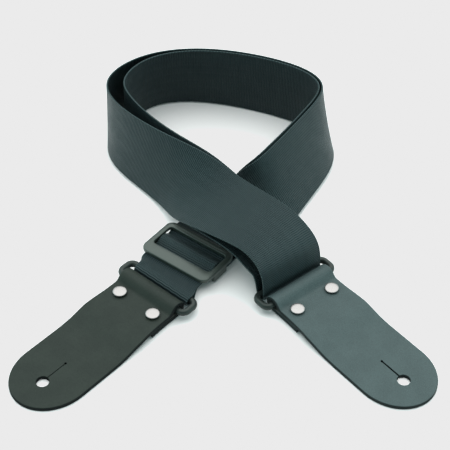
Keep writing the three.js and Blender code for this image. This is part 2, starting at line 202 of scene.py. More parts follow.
class Shader:
    """Adds nodes to a new material or world and links them."""

    def __init__(self, owner):
        owner.use_nodes = True
        self.owner = owner
        self.tree = owner.node_tree
        self.tree.nodes.clear()

    @classmethod
    def of_material(cls, name):
        return cls(bpy.data.materials.new(name))

    def add(self, kind, inputs=None, **settings):
        node = self.tree.nodes.new(kind)
        for key, value in settings.items():
            setattr(node, key, value)
        for key, value in (inputs or {}).items():
            if isinstance(value, bpy.types.NodeSocket):
                self.tree.links.new(value, node.inputs[key])
            else:
                node.inputs[key].default_value = value
        return node

    def math(self, operation, *values):
        inputs = dict(enumerate(values))
        return self.add("ShaderNodeMath", inputs, operation=operation).outputs[0]

    def vector(self, operation, a, b):
        return self.add("ShaderNodeVectorMath", {0: a, 1: b}, operation=operation).outputs[0]

    def noise(self, vector, scale, detail=3.0, roughness=0.5):
        inputs = {"Vector": vector, "Scale": scale, "Detail": detail, "Roughness": roughness}
        return self.add("ShaderNodeTexNoise", inputs).outputs["Fac"]

    def cells(self, vector, scale):
        """The distance to the nearest edge between random cells."""
        inputs = {"Vector": vector, "Scale": scale}
        node = self.add("ShaderNodeTexVoronoi", inputs, feature="DISTANCE_TO_EDGE")
        return node.outputs["Distance"]

    def between(self, value, low, high, out_low=0.0, out_high=1.0):
        """A smooth step of value, from out_low at low to out_high at high."""
        inputs = {"Value": value, 1: low, 2: high, 3: out_low, 4: out_high}
        node = self.add("ShaderNodeMapRange", inputs, interpolation_type="SMOOTHSTEP")
        return node.outputs[0]

    def mix(self, factor, a, b):
        node = self.add("ShaderNodeMix", {0: factor}, data_type="RGBA")
        for socket, value in ((node.inputs[6], a), (node.inputs[7], b)):
            if isinstance(value, bpy.types.NodeSocket):
                self.tree.links.new(value, socket)
            else:
                socket.default_value = (*value, 1.0)
        return node.outputs[2]

    def flat(self):
        """The piece's flat coordinates in millimetres: the vector, and its three parts."""
        node = self.add("ShaderNodeAttribute", attribute_name="flat")
        parts = self.add("ShaderNodeSeparateXYZ", {0: node.outputs["Vector"]}).outputs
        return node.outputs["Vector"], parts[0], parts[1], parts[2]

    def millimetres(self):
        """The piece's own coordinates in millimetres."""
        own = self.add("ShaderNodeTexCoord").outputs["Object"]
        return self.add(
            "ShaderNodeVectorMath", {0: own, "Scale": 1 / MM}, operation="SCALE"
        ).outputs[0]

    def bump(self, height, depth, normal=None):
        """A bump whose height of 0 to 1 stands for `depth` millimetres."""
        inputs = {"Height": height, "Distance": depth * MM, "Strength": 1.0}
        if normal is not None:
            inputs["Normal"] = normal
        return self.add("ShaderNodeBump", inputs).outputs[0]

    def finish(self, **inputs):
        named = {key.replace("_", " "): value for key, value in inputs.items()}
        for key in ("Base Color", "Specular Tint", "Sheen Tint", "Coat Tint"):
            if isinstance(named.get(key), tuple):
                named[key] = (*named[key], 1.0)
        shader = self.add("ShaderNodeBsdfPrincipled", named)
        output = self.add("ShaderNodeOutputMaterial")
        self.tree.links.new(shader.outputs[0], output.inputs[0])
        return self.owner


# ---------------------------------------- materials

def weave_height(s, along, across):
    """The height of the weave from about 0 to 1: slanted cross ribs over fine warp threads."""
    rib_pitch, warp_pitch, rib_slant = 1.3, 0.7, 0.06
    zigzag = s.math("PINGPONG", across, PANEL / 2)
    slanted = s.math("MULTIPLY", zigzag, rib_slant)
    rib_phase = s.math("ADD", s.math("DIVIDE", along, rib_pitch), slanted)
    ribs = s.math("SINE", s.math("MULTIPLY", rib_phase, 2 * math.pi))
    warp = s.math("SINE", s.math("MULTIPLY", across, 2 * math.pi / warp_pitch))
    weave = s.math("MULTIPLY_ADD", s.math("MULTIPLY", ribs, warp), 0.2, s.math("MULTIPLY", ribs, 0.5))
    return s.math("ADD", weave, 0.5)


def webbing_material():
    """Seat-belt weave: cross ribs, fine warp threads and lengthwise bands, with painted shade in the
    weave's hollows and a painted dotted highlight along both edges.
    """
    s = Shader.of_material("webbing_weave")
    flat, along, across, _ = s.flat()
    dot_pitch = 2.4
    height = weave_height(s, along, across)
    from_middle = s.math("ABSOLUTE", across)
    # Painted highlight: a paler dotted line along both edges, standing for the edge fibres catching
    # the light.
    edge_highlight = s.between(from_middle, WIDTH / 2 - 0.5, WIDTH / 2 - 0.2)
    streaks = s.add("ShaderNodeCombineXYZ", {
        0: s.math("MULTIPLY", along, 0.012),
        1: s.math("MULTIPLY", across, 0.9),
        2: 0.0,
    }).outputs[0]
    band = s.noise(streaks, 1.0, 2.0)
    cloud = s.noise(flat, 0.08, 3.0)
    dark, light = (0.0049, 0.0083, 0.0098), (0.0074, 0.0124, 0.0145)
    body = s.mix(s.between(band, 0.35, 0.7), dark, light)
    # Painted shade: the low parts of the weave are darkened towards black, as if shaded between the
    # ribs.
    body = s.mix(s.between(height, 0.1, 0.7, 0.7, 0.0), body, (0.001, 0.002, 0.003))
    dot_wave = s.math("SINE", s.math("MULTIPLY", along, 2 * math.pi / dot_pitch))
    dots = s.between(dot_wave, -0.2, 0.8)
    edge = s.mix(dots, (0.008, 0.014, 0.016), (0.03, 0.045, 0.046))
    colour = s.mix(edge_highlight, body, edge)
    rough = s.between(cloud, 0.3, 0.7, 0.36, 0.46)
    return s.finish(
        Base_Color=colour,
        Roughness=rough,
        Specular_IOR_Level=0.33,
        Specular_Tint=(0.66, 1.0, 1.02),
        Sheen_Weight=0.03,
        Sheen_Roughness=0.4,
        Sheen_Tint=(0.6, 0.9, 0.9),
        Normal=s.bump(height, 0.28),
    )


def thread_material():
    """Twisted polyester sewing thread."""
    s = Shader.of_material("sewing_thread")
    spot = s.millimetres()
    twist = s.noise(spot, 4.0, 2.0)
    return s.finish(
        Base_Color=s.mix(twist, (0.012, 0.017, 0.018), (0.04, 0.052, 0.052)),
        Roughness=0.6,
        Sheen_Weight=0.2,
        Normal=s.bump(twist, 0.06),
    )


def plastic_material(name, dark, light, shine):
    """Satin black moulded plastic with a fine spark-eroded grain."""
    s = Shader.of_material(name)
    spot = s.millimetres()
    grain = s.noise(spot, 2.6, 4.0, 0.65)
    cloud = s.noise(spot, 0.11, 2.0)
    return s.finish(
        Base_Color=s.mix(cloud, dark, light),
        Roughness=s.between(grain, 0.3, 0.7, 0.30, 0.42),
        Specular_IOR_Level=shine,
        Specular_Tint=(0.85, 1.0, 0.93),
        Normal=s.bump(grain, 0.02),
    )


def leather_material(name, dark, light, edge, grain_depth, roughness, shine):
    """Dyed leather: pebbled grain above, fibrous flesh side below, dark burnished cut edges."""
    s = Shader.of_material(name)
    flat, _, _, through = s.flat()
    wander = s.noise(flat, 0.35, 3.0)
    shift = s.add("ShaderNodeCombineXYZ", {0: wander, 1: wander, 2: 0.0}).outputs[0]
    pebbles = s.between(s.cells(s.vector("ADD", flat, shift), 1.15), 0.0, 0.35)
    pores = s.noise(flat, 2.4, 3.0, 0.6)
    creases = s.noise(s.vector("MULTIPLY", flat, (0.5, 0.12, 1.0)), 0.9, 2.0)
    grain = s.math("MULTIPLY_ADD", pebbles, 0.6, s.math("MULTIPLY", pores, 0.4))
    mottle = s.noise(flat, 0.07, 4.0, 0.6)
    colour = s.mix(s.between(mottle, 0.3, 0.7), dark, light)
    # Painted shade: the hollows of the grain are darkened a little towards the edge colour.
    colour = s.mix(s.between(grain, 0.15, 0.6, 0.25, 0.0), colour, edge)
    from_face = s.math("ABSOLUTE", through)
    cut = s.between(from_face, LEATHER / 2 - 0.28, LEATHER / 2 - 0.04, 1.0, 0.0)
    flesh = s.between(through, -LEATHER / 2 + 0.05, -LEATHER / 2 + 0.02)
    fibres = s.noise(flat, 3.5, 4.0, 0.7)
    suede = s.mix(fibres, (0.05, 0.05, 0.045), (0.10, 0.10, 0.09))
    colour = s.mix(flesh, colour, suede)
    colour = s.mix(cut, colour, edge)
    rough = s.math("MULTIPLY_ADD", grain, -0.08, roughness + 0.04)
    rough = s.math("MAXIMUM", rough, s.math("MULTIPLY", s.math("MAXIMUM", flesh, cut), 0.8))
    fine = s.bump(grain, grain_depth)
    return s.finish(
        Base_Color=colour,
        Roughness=rough,
        Specular_IOR_Level=shine,
        Specular_Tint=(0.85, 1.0, 1.0),
        Normal=s.bump(creases, 0.12, fine),
    )


def nickel_material():
    """Bright nickel plate with faint wiping marks."""
    s = Shader.of_material("nickel_plate")
    spot = s.millimetres()
    marks = s.noise(spot, 1.7, 4.0, 0.7)
    return s.finish(
        Base_Color=s.mix(marks, (0.23, 0.222, 0.218), (0.32, 0.31, 0.305)),
        Metallic=1.0,
        Roughness=s.between(marks, 0.3, 0.7, 0.22, 0.34),
        Normal=s.bump(marks, 0.01),
    )


webbing_weave = webbing_material()
sewing_thread = thread_material()
# One plastic in two copies: the adjuster's is painted lighter, as if lit, and the rings' is painted
# darker, as shade.
adjuster_plastic = plastic_material(
    "plastic_painted_lit", (0.020, 0.027, 0.024), (0.028, 0.036, 0.032), shine=0.5)
ring_plastic = plastic_material(
    "plastic_painted_shaded", (0.008, 0.011, 0.011), (0.011, 0.015, 0.014), shine=0.32)
nickel_plate = nickel_material()
left_leather = leather_material(
    "warm_leather", (0.015, 0.020, 0.016), (0.019, 0.025, 0.020), (0.003, 0.004, 0.004),
    grain_depth=0.05, roughness=0.52, shine=0.15)
right_leather = leather_material(
    "cool_leather", (0.043, 0.064, 0.065), (0.051, 0.075, 0.076), (0.005, 0.008, 0.008),
    grain_depth=0.13, roughness=0.50, shine=0.25)


# ---------------------------------------- the run of the webbing

def plan_point(place, distance):
    x, y, degrees = place
    return (np.array([x, y, 0.0]) + distance * heading_vector(degrees))[:2]


# Middle of the outer layer (x, y, z), how far its top edge leans to the inside of the loop in
# degrees (0 stands on edge, 90 lies flat), and how far inside it the second layer runs.
STATIONS = np.array([
    [*plan_point(ADJUSTER_PLACE, LOOP_FROM), CHANNEL_HEIGHT, 90, 4.2],
    [*plan_point(ADJUSTER_PLACE, 38), 7, 90, 4.2],
    [14.5, 6, 12, 78, 4],
    [32.5, 9, 19.8, 42, 3],
    [44.5, 26.5, 22.6, 34, 2.6],
    [69, 63, 24.8, 29, 2.4],
    [78, 92, 26.8, 5, 2.4],
    [55.5, 119.5, 25, -4, 2.4],
    [-7.5, 142.5, 25.5, 0, 2.4],
    [-62.5, 139, 25.5, 8, 3],
    [-90.5, 100.5, 25.5, -4, 14],
    [-80.5, 63, 26, 14, 12],
    [-35.5, 26.5, 23.5, 20, 2.4],
    [-12.5, -3.5, 28.5, 74, 3],
    [15, -32, 36.5, 83, 7.5],
    [*plan_point(RIGHT_RING_PLACE, DESCENT - 19), 35, 90, 15],
    [*plan_point(RIGHT_RING_PLACE, DESCENT - 0.2), 26, 90, 10],
    [*plan_point(RIGHT_RING_PLACE, DESCENT), BAR_HEIGHT, 90, 2 * BIGHT_RADIUS],
])


def b_spline(values, t):
    """A uniform cubic B-spline of the rows of values, from the first row to the last."""
    values = np.vstack([2 * values[0] - values[1], values, 2 * values[-1] - values[-2]])
    spans = len(values) - 3
    i = min(int(t * spans), spans - 1)
    u = t * spans - i
    weights = np.array([
        (1 - u) ** 3,
        3 * u ** 3 - 6 * u ** 2 + 4,
        -3 * u ** 3 + 3 * u ** 2 + 3 * u + 1,
        u ** 3,
    ]) / 6
    return weights @ values[i:i + 4]


def station_across(index):
    """The direction from the middle of the webbing to its top edge at a station."""
    ahead = STATIONS[min(index + 1, len(STATIONS) - 1), :3]
    behind = STATIONS[max(index - 1, 0), :3]
    along = unit(ahead - behind)
    right = unit(np.cross(along, UP))
    upright = np.cross(right, along)
    lean = math.radians(STATIONS[index, 3])
    return upright * math.cos(lean) - right * math.sin(lean)


STATION_ACROSS = np.array([station_across(i) for i in range(len(STATIONS))])
SLEEVE_TAIL_HEIGHT = CHANNEL_HEIGHT - STATIONS[0, 4]


def outer_frame(t):
    """The outer layer at t from 0 to 1: its middle, the ways across and outwards, and the gap."""
    step = 1e-4
    station = b_spline(STATIONS, t)
    centre, gap = station[:3], station[4]
    ahead = b_spline(STATIONS, min(t + step, 1))[:3]
    behind = b_spline(STATIONS, max(t - step, 0))[:3]
    across = unit(b_spline(STATION_ACROSS, t))
    outward = unit(np.cross(ahead - behind, across))
    return centre, across, outward, gap


def inner_frame(t):
    """The second layer, moved across where it leans so that it stays above the table."""
    centre, across, outward, gap = outer_frame(t)
    keep_on_table = gap * outward[2] * across[2]
    return centre - outward * gap + across * keep_on_table, across


ADJUSTER_ALONG = heading_vector(ADJUSTER_PLACE[2])


def channel_frame(s, z):
    """The webbing in the adjuster's side view: s runs along it, z is its height."""
    centre = np.array([*plan_point(ADJUSTER_PLACE, s), z])
    return centre, left_of(ADJUSTER_ALONG)


def inner_bar(place):
    """A point of a ring's bar that holds the webbing, and the way from it to the leather."""
    outward = heading_vector(place[2])
    return np.array([*plan_point(place, -RING_DEPTH), BAR_HEIGHT]), outward


def bight_point(axis, outward, degrees):
    """A point of the turn round a ring's bar, which hangs a little loose on the leather's side."""
    angle = math.radians(degrees)
    reach = BIGHT_RADIUS * math.cos(angle)
    if reach > 0:
        reach *= BIGHT_SLACK
    return axis + outward * reach + UP * BIGHT_RADIUS * math.sin(angle)


def left_loop_frames():
    """The short tail, the turn round the left ring's bar, and the way back to the straight run."""
    axis, outward = inner_bar(LEFT_RING_PLACE)
    ring_across = -left_of(outward)
    off_centre = 0.8
    axis = axis - off_centre * ring_across
    bar_at = (axis - channel_frame(0, 0)[0]) @ ADJUSTER_ALONG
    steps = 14

    def run(fraction, degrees, height):
        """A frame between the bar, at fraction 0, and the start of the straight run, at 1."""
        distance = (FLAT_FROM - bar_at) * fraction
        near_bar = bight_point(axis, outward, degrees) - outward * distance
        centre, across = channel_frame(bar_at + distance, height)
        k = smooth(fraction)
        return near_bar * (1 - k) + centre * k, unit(ring_across * (1 - k) + across * k)

    frames = [channel_frame(s, RING_TAIL_HEIGHT) for s in (-8, -13)]
    frames += [run(k / steps, -90, RING_TAIL_HEIGHT) for k in range(steps, 0, -1)]
    frames += [(bight_point(axis, outward, a), ring_across) for a in np.linspace(-90, 90, 17)]
    frames += [run(k / steps, 90, CHANNEL_HEIGHT) for k in range(1, steps + 1)]
    return frames


def window_frames():
    """Through the adjuster: under one long bar, up over the sewn loop, under the other."""
    frames = []
    for s in np.arange(FLAT_FROM + WINDOW_STEP, LOOP_FROM, WINDOW_STEP):
        away = abs(s - CREST["at"])
        rise = CREST["rise"] * math.exp(-((away / CREST["reach"]) ** 2))
        dip = DIP["depth"] * math.exp(-(((away - DIP["from_crest"]) / DIP["reach"]) ** 2))
        frames.append(channel_frame(s, CHANNEL_HEIGHT + rise - dip))
    return frames


def long_loop_frames(steps=300):
    """Round the loop to the right ring, round its bar, and back as the second layer."""
    outer = [outer_frame(k / steps)[:2] for k in range(steps + 1)]
    axis, outward = inner_bar(RIGHT_RING_PLACE)
    bight = [
        (bight_point(axis, outward, a), left_of(outward)) for a in np.linspace(-12, -168, 14)
    ]
    inner = [inner_frame(1 - k / steps) for k in range(steps + 1)]
    end = [channel_frame(INNER_LAYER_TO, SLEEVE_TAIL_HEIGHT)]
    return outer + bight + inner + end


def bar_loop_frames():
    """The webbing's far end, folded round the adjuster's centre bar."""
    clearance, tail_from = 0.2, 9.0
    radius = CENTRE_BAR_RADIUS + clearance + THICKNESS / 2
    flat = CENTRE_BAR_HALF_DEPTH - CENTRE_BAR_RADIUS
    low, high = CENTRE_BAR_HEIGHT - radius, CENTRE_BAR_HEIGHT + radius
    frames = [channel_frame(s, low) for s in np.linspace(LOOP_FROM, flat, 12)]
    for angle in np.linspace(-0.5 * math.pi, -1.5 * math.pi, 15):
        s = -flat + radius * math.cos(angle)
        frames.append(channel_frame(s, CENTRE_BAR_HEIGHT + radius * math.sin(angle)))
    for k in np.linspace(0, 1, 14):
        s = flat + (tail_from - flat) * k
        frames.append(channel_frame(s, high + (SLEEVE_TAIL_HEIGHT - high) * smooth(k)))
    frames += [channel_frame(s, SLEEVE_TAIL_HEIGHT) for s in (11, 13, 14.8)]
    return frames


# ---------------------------------------- woven strips

def woven_section():
    """The webbing's cross-section (across, height): shallow panel grooves and a rolled selvedge."""
    half = WIDTH / 2
    bead = 0.62                                 # radius of the rolled edge
    groove_half_width = 0.5
    half_thickness, half_thickness_in_groove = 0.57, 0.545
    top = []
    for angle in np.linspace(0, 90, 5):
        edge = math.radians(angle)
        top.append((half - bead * (1 - math.cos(edge)), bead * math.sin(edge)))
    top.append((half - 1.1, 0.6))
    top.append((half - 1.6, 0.54))
    stops = [half - 2.1]
    for k in (2.5, 1.5, 0.5):
        stops += [k * PANEL + groove_half_width, k * PANEL, k * PANEL - groove_half_width]
        stops.append(k * PANEL - PANEL / 2)
    for v in stops:
        in_groove = abs((v / PANEL) % 1 - 0.5) < 0.02
        top.append((max(v, 0.0), half_thickness_in_groove if in_groove else half_thickness))
    mirrored = [(-v, w) for v, w in reversed(top[:-1])]
    upper = top + mirrored
    lower = [(v, -w) for v, w in reversed(upper[1:-1])]
    return np.array(upper + lower)


SECTION = woven_section()


def add_normals(frames, widths=None):
    """Frames with their normal, how far along the webbing each lies, and its share of width."""
    centres = np.array([centre for centre, _ in frames])
    widths = np.ones(len(frames)) if widths is None else widths
    full = []
    travelled = 0.0
    for i, (centre, across) in enumerate(frames):
        along = centres[min(i + 1, len(frames) - 1)] - centres[max(i - 1, 0)]
        if i:
            travelled += np.linalg.norm(centres[i] - centres[i - 1])
        full.append((centre, across, unit(np.cross(along, across)), travelled, widths[i]))
    return full


def strip_piece(name, frames):
    """A length of webbing swept along its frames, with its flat coordinates."""
    rings, flat = [], []
    for centre, across, normal, travelled, width in frames:
        rings.append(centre + SECTION[:, :1] * width * across + SECTION[:, 1:] * normal)
        flat += [(travelled, v, w) for v, w in SECTION]
    points, faces = loft(rings)
    return make_piece(name, points, faces, webbing_weave, flat, sharp=50)


def gathered_widths(ring_count, window_count, loop_count):
    """The webbing's width at each of its frames, as a share of its full width."""
    widths = np.ones(ring_count + window_count + loop_count)
    widths[:ring_count] = GATHERED_AT_RING
    for i in range(window_count):
        s = FLAT_FROM + WINDOW_STEP * (i + 1)
        near_crest = math.exp(-(((s - CREST["at"]) / GATHER_REACH) ** 2))
        at_crest = 1 - (1 - GATHERED_AT_CREST) * near_crest
        spread = smooth((s - FLAT_FROM) / SPREAD_LENGTH)
        leaving_ring = 1 - (1 - GATHERED_AT_RING) * (1 - spread)
        widths[ring_count + i] = min(at_crest, leaving_ring)
    return widths


def make_webbing():
    """The band as four pieces, so that the stretch in the adjuster can follow it as it slides.

    The fifth piece, the sewn end round the centre bar, rides with the adjuster.
    """
    ring_part, window_part, long_part = left_loop_frames(), window_frames(), long_loop_frames()
    ring_end = len(ring_part)
    widths = gathered_widths(ring_end, len(window_part), len(long_part))
    frames = add_normals(ring_part + window_part + long_part, widths)
    crest = ring_end + int(round((CREST["at"] - FLAT_FROM) / WINDOW_STEP)) - 1
    loop_start = ring_end + len(window_part)

    ring_loop = strip_piece("webbing_ring_loop", frames[:ring_end])
    near = strip_piece("webbing_window_near", frames[ring_end - 1:crest + 1])
    far = strip_piece("webbing_window_far", frames[crest:loop_start + 1])
    long_loop = strip_piece("webbing_long_loop", frames[loop_start:])

    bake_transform(near)
    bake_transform(far)
    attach(ring_loop, "webbing")
    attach(long_loop, "webbing")
    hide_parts("webbing")

    bar_loop = strip_piece("webbing_bar_sleeve", add_normals(bar_loop_frames()))
    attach(bar_loop, "adjuster")
    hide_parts("webbing_bar_loop")


# ---------------------------------------- stitches

def tube(path, radius, sides=8):
    """A round cord along a path."""
    path = np.asarray(path, float)
    rings = []
    for i, point in enumerate(path):
        along = unit(path[min(i + 1, len(path) - 1)] - path[max(i - 1, 0)])
        side = unit(np.cross(along, UP))
        lift = np.cross(side, along)
        angles = np.linspace(0, 2 * math.pi, sides, endpoint=False)
        rings.append(np.array([
            point + radius * (side * math.cos(a) + lift * math.sin(a)) for a in angles
        ]))
    return loft(rings)


def bar_tack(s, height, side):
    """A zigzag of thread across the webbing. side is 1 on its upper face and -1 on its lower."""
    stitches, reach, rise, loft_height, thread_radius = 26, 21.0, 1.1, 0.16, 0.24
    path = []
    for k in range(stitches):
        start = np.array([s + (rise if k % 2 else -rise), -reach + 2 * reach * k / stitches])
        end = np.array([s + (-rise if k % 2 else rise), -reach + 2 * reach * (k + 1) / stitches])
        for f in np.linspace(0, 1, 5)[:-1]:
            x, y = start + (end - start) * f
            path.append((x, y, height + side * loft_height * math.sin(math.pi * f)))
    return tube(place_points(ADJUSTER_PLACE, path), thread_radius)


def make_tack(name, s_positions, heights, body, node):
    """One piece of thread made of a row of stitches at each position and each height."""
    points, faces = [], []
    for s in s_positions:
        for height, side in heights:
            more_points, more_faces = bar_tack(s, height, side)
            offset = sum(len(p) for p in points)
            points.append(more_points)
            faces += [tuple(i + offset for i in face) for face in more_faces]
    piece = make_piece(name, np.concatenate(points), faces, sewing_thread)
    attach(piece, body)
    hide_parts(node)


def make_stitches():
    """Two tacks. The upper thread at the ring is pulled in, so the adjuster's bar clears it."""
    half = THICKNESS / 2
    ring_rows, sleeve_rows = (-14.2, -11.8), (12.5,)
    pulled_in = 0.26
    ring_faces = ((CHANNEL_HEIGHT + half - pulled_in, 1), (RING_TAIL_HEIGHT - half, -1))
    sleeve_faces = ((SLEEVE_TAIL_HEIGHT + half, 1),)
    make_tack("ring_loop_stitches", ring_rows, ring_faces, "webbing", "left_ring_tack")
    make_tack("bar_sleeve_stitches", sleeve_rows, sleeve_faces, "adjuster", "bar_loop_tack")


# ---------------------------------------- moulded plastic parts

def rounded_loop(length, depth, corner, corner_steps=8, side_steps=6):
    """Points round a rounded rectangle: `depth` is its size in x and `length` its size in y."""
    x, y = depth / 2 - corner, length / 2 - corner
    arcs = []
    for sx, sy, start in ((1, 1, 0), (-1, 1, 90), (-1, -1, 180), (1, -1, 270)):
        angles = np.radians(np.linspace(start, start + 90, corner_steps + 1))
        arcs.append(np.column_stack([
            sx * x + corner * np.cos(angles), sy * y + corner * np.sin(angles)]))
    points = []
    for i, arc in enumerate(arcs):
        points.extend(arc)
        following = arcs[(i + 1) % 4][0]
        for k in range(1, side_steps):
            points.append(arc[-1] + (following - arc[-1]) * k / side_steps)
    return np.array(points)


def level_ring(loop, z):
    """A flat loop of points at one height."""
    return np.hstack([loop, np.full((len(loop), 1), z)])


def make_ring(name, place, body, node):
    """A rounded rectangle of round bar, with webbing on one long side and leather on the other."""
    rings = []
    for angle in np.linspace(0, 2 * math.pi, 24, endpoint=False):
        out = BAR_RADIUS * math.cos(angle)
        length, depth, corner = RING_LENGTH + 2 * out, RING_DEPTH + 2 * out, RING_CORNER + out
        loop = rounded_loop(length, depth, corner, corner_steps=10, side_steps=10)
        z = BAR_HEIGHT + BAR_RADIUS * math.sin(angle)
        rings.append(level_ring(loop - [RING_DEPTH / 2, 0], z))
    points, faces = loft(rings[::-1], closed_along=True)
    piece = make_piece(name, place_points(place, points), faces, ring_plastic, sharp=50)
    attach(piece, body)
    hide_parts(node)


def adjuster_frame_solid():
    """The adjuster's rounded frame: a wide flat bar near the ring, a ridged one on the far side."""
    top, bottom = ADJUSTER_TOP, ADJUSTER_TOP - ADJUSTER_THICKNESS
    fillet, lip, crown, ridge_height = 0.8, 0.6, 0.25, 0.25
    ridges_from, ridges_to, fade = 6.0, 24.0, 3.0

    def outer(inset, z):
        loop = rounded_loop(
            ADJUSTER_LENGTH - 2 * inset, ADJUSTER_DEPTH - 2 * inset, ADJUSTER_CORNER - inset)
        return level_ring(loop + [FRAME_SHIFT, 0], z)

    def inner(outset, z):
        loop = rounded_loop(
            WINDOW_LENGTH + 2 * outset, WINDOW_DEPTH + 2 * outset, WINDOW_CORNER + outset)
        return level_ring(loop + [WINDOW_SHIFT, 0], z)

    rings = [outer(0.5, bottom), outer(0.12, bottom + 0.15), outer(0.0, bottom + 0.5)]
    for angle in np.radians(np.linspace(0, 90, 5)):
        inset = fillet * (1 - math.cos(angle))
        rings.append(outer(inset, top - fillet + fillet * math.sin(angle)))
    rim, window_rim = outer(fillet, top), inner(lip, top)
    ridges = [ridge_height * (k % 2) for k in range(7)]
    for k, ridge in enumerate(ridges):
        f = (k + 1) / (len(ridges) + 1)
        ring = rim * (1 - f) + window_rim * f
        far_side = np.clip(ring[:, 0] / ridges_from - 1, 0, 1)
        far_side *= np.clip(ridges_to / fade - np.abs(ring[:, 1]) / fade, 0, 1)
        ring[:, 2] += crown * math.sin(math.pi * f) - ridge * far_side
        rings.append(ring)
    for angle in np.radians(np.linspace(0, 90, 4)):
        rings.append(inner(lip * (1 - math.sin(angle)), top - lip * (1 - math.cos(angle))))
    rings += [inner(0.0, bottom + 0.4), inner(0.3, bottom)]
    return loft(rings[::-1], closed_along=True)


def bevelled_box(low, high, bevel, corner=0.9):
    """A box with chamfered edges, lofted through four rounded rectangles."""
    low, high = np.asarray(low, float), np.asarray(high, float)
    size, middle = high - low, (high + low) / 2
    rings = []
    for inset, z in ((bevel, low[2]), (0, low[2] + bevel), (0, high[2] - bevel), (bevel, high[2])):
        length, depth = size[1] - 2 * inset, size[0] - 2 * inset
        loop = rounded_loop(length, depth, corner - inset, corner_steps=5, side_steps=1)
        rings.append(level_ring(loop + middle[:2], z))
    return loft(rings)


def centre_bar_solid(half_length):
    """A flat oval bar with fine grip ridges along it."""
    angles = np.linspace(0, 2 * math.pi, 48, endpoint=False)
    flat = CENTRE_BAR_HALF_DEPTH - CENTRE_BAR_RADIUS
    ridge_depth, ridge_count = 0.08, 12
    radius = CENTRE_BAR_RADIUS - ridge_depth * (0.5 + 0.5 * np.cos(ridge_count * angles))
    section = np.column_stack([
        flat * np.sign(np.round(np.cos(angles), 6)) + radius * np.cos(angles),
        CENTRE_BAR_HEIGHT + radius * np.sin(angles),
    ])
    rings = []
    for y in np.linspace(-half_length, half_length, 9):
        rings.append(np.column_stack([section[:, 0], np.full(len(section), y), section[:, 1]]))
    return loft(rings)


def union(piece, others):
    """Joins other pieces into one closed mesh with the first."""
    for other in others:
        modifier = piece.modifiers.new("union", "BOOLEAN")
        modifier.operation = "UNION"
        modifier.solver = "EXACT"
        modifier.object = other
    evaluated = piece.evaluated_get(bpy.context.evaluated_depsgraph_get())
    joined = bpy.data.meshes.new_from_object(evaluated)
    piece.modifiers.clear()
    piece.data = joined
    for other in others:
        bpy.data.objects.remove(other)
    joined.polygons.foreach_set("use_smooth", [True] * len(joined.polygons))
    joined.set_sharp_from_angle(angle=math.radians(40))


def make_adjuster():
    """The frame, a cheek at each end and the centre bar, joined into one piece."""
    def part(name, solid):
        points, faces = solid
        return make_piece(name, place_points(ADJUSTER_PLACE, points), faces, adjuster_plastic)

    body = part("adjuster_frame", adjuster_frame_solid())
    side_play, cheek_width, cheek_half_depth, into_frame, into_cheek = 0.4, 2.25, 7, 0.6, 1.1
    cheek_inside = WIDTH / 2 + side_play
    cheek_outside = cheek_inside + cheek_width
    cheek_low = CENTRE_BAR_HEIGHT - CENTRE_BAR_RADIUS
    others = []
    for side in (-1, 1):
        y = sorted((side * cheek_inside, side * cheek_outside))
        low = (-cheek_half_depth, y[0], cheek_low)
        high = (cheek_half_depth, y[1], ADJUSTER_TOP - ADJUSTER_THICKNESS + into_frame)
        others.append(part(f"cheek{side}", bevelled_box(low, high, bevel=0.4)))
    others.append(part("bar", centre_bar_solid(cheek_inside + into_cheek)))
    union(body, others)
    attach(body, "adjuster")
    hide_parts("tri_glide_adjuster")


# ---------------------------------------- leather ends

def bezier(a, b, c, d, steps):
    """Points of the cubic curve that starts at a, ends at d and is drawn towards b and c."""
    t = np.linspace(0, 1, steps)[:, None]
    a, b, c, d = (np.array(p, float) for p in (a, b, c, d))
    return (1 - t) ** 3 * a + 3 * (1 - t) ** 2 * t * b + 3 * (1 - t) * t ** 2 * c + t ** 3 * d


def leather_side_view():
    """The leather's middle line in side view (x from the bar, z), from its tail to its tip."""
    inner = BAR_RADIUS + PLAY
    radius = inner + LEATHER / 2
    leaf = BAR_HEIGHT - inner + LEAF_GAP + LEATHER / 2
    before_rivet, soften = 4.9, 4.0
    meet = RIVET_FROM_BAR - before_rivet
    settle = (LEATHER_LANDS - LEATHER_TAIL) / 2
    angles = np.linspace(1.5 * math.pi, 0.5 * math.pi, 60)
    turn = np.column_stack([
        FOLD_SLACK * radius * np.cos(angles), BAR_HEIGHT + radius * np.sin(angles)])
    top = BAR_HEIGHT + radius
    return np.vstack([
        [(LEATHER_TAIL, BAR_HEIGHT - radius)],
        turn,
        bezier((0, top), (soften, top), (meet - soften, leaf), (meet, leaf), 40)[1:],
        bezier((LEATHER_TAIL, leaf), (LEATHER_TAIL + settle, leaf),
               (LEATHER_LANDS - settle, LEATHER / 2), (LEATHER_LANDS, LEATHER / 2), 60),
        [(LEATHER_LENGTH, LEATHER / 2)],
    ])


SIDE_VIEW = leather_side_view()
SIDE_STEPS = np.linalg.norm(np.diff(SIDE_VIEW, axis=0), axis=1)
SIDE_LENGTHS = np.concatenate([[0], np.cumsum(SIDE_STEPS)])
FOLD_AT = SIDE_LENGTHS[np.argmax(SIDE_VIEW[:, 1])]  # flat distance at the top of the fold


def side_view_at(distances):
    """Points of the side view at distances along the flat leather."""
    return np.column_stack([
        np.interp(distances, SIDE_LENGTHS, SIDE_VIEW[:, 0]),
        np.interp(distances, SIDE_LENGTHS, SIDE_VIEW[:, 1])])


def flat_distance(x):
    """How far along the flat leather a point of the upper leaf lies, from its distance x."""
    upper = SIDE_LENGTHS >= FOLD_AT
    return np.interp(x, SIDE_VIEW[upper, 0], SIDE_LENGTHS[upper])


def leather_half_width(x):
    """Half the leather's width at a distance x from the bar, up to the start of the round tip."""
    neck, full = 23.8, 25.0
    flare = bezier((4, neck), (12, neck), (18, neck - 0.2), (34, full), 30)
    return np.interp(x, flare[:, 0], flare[:, 1])


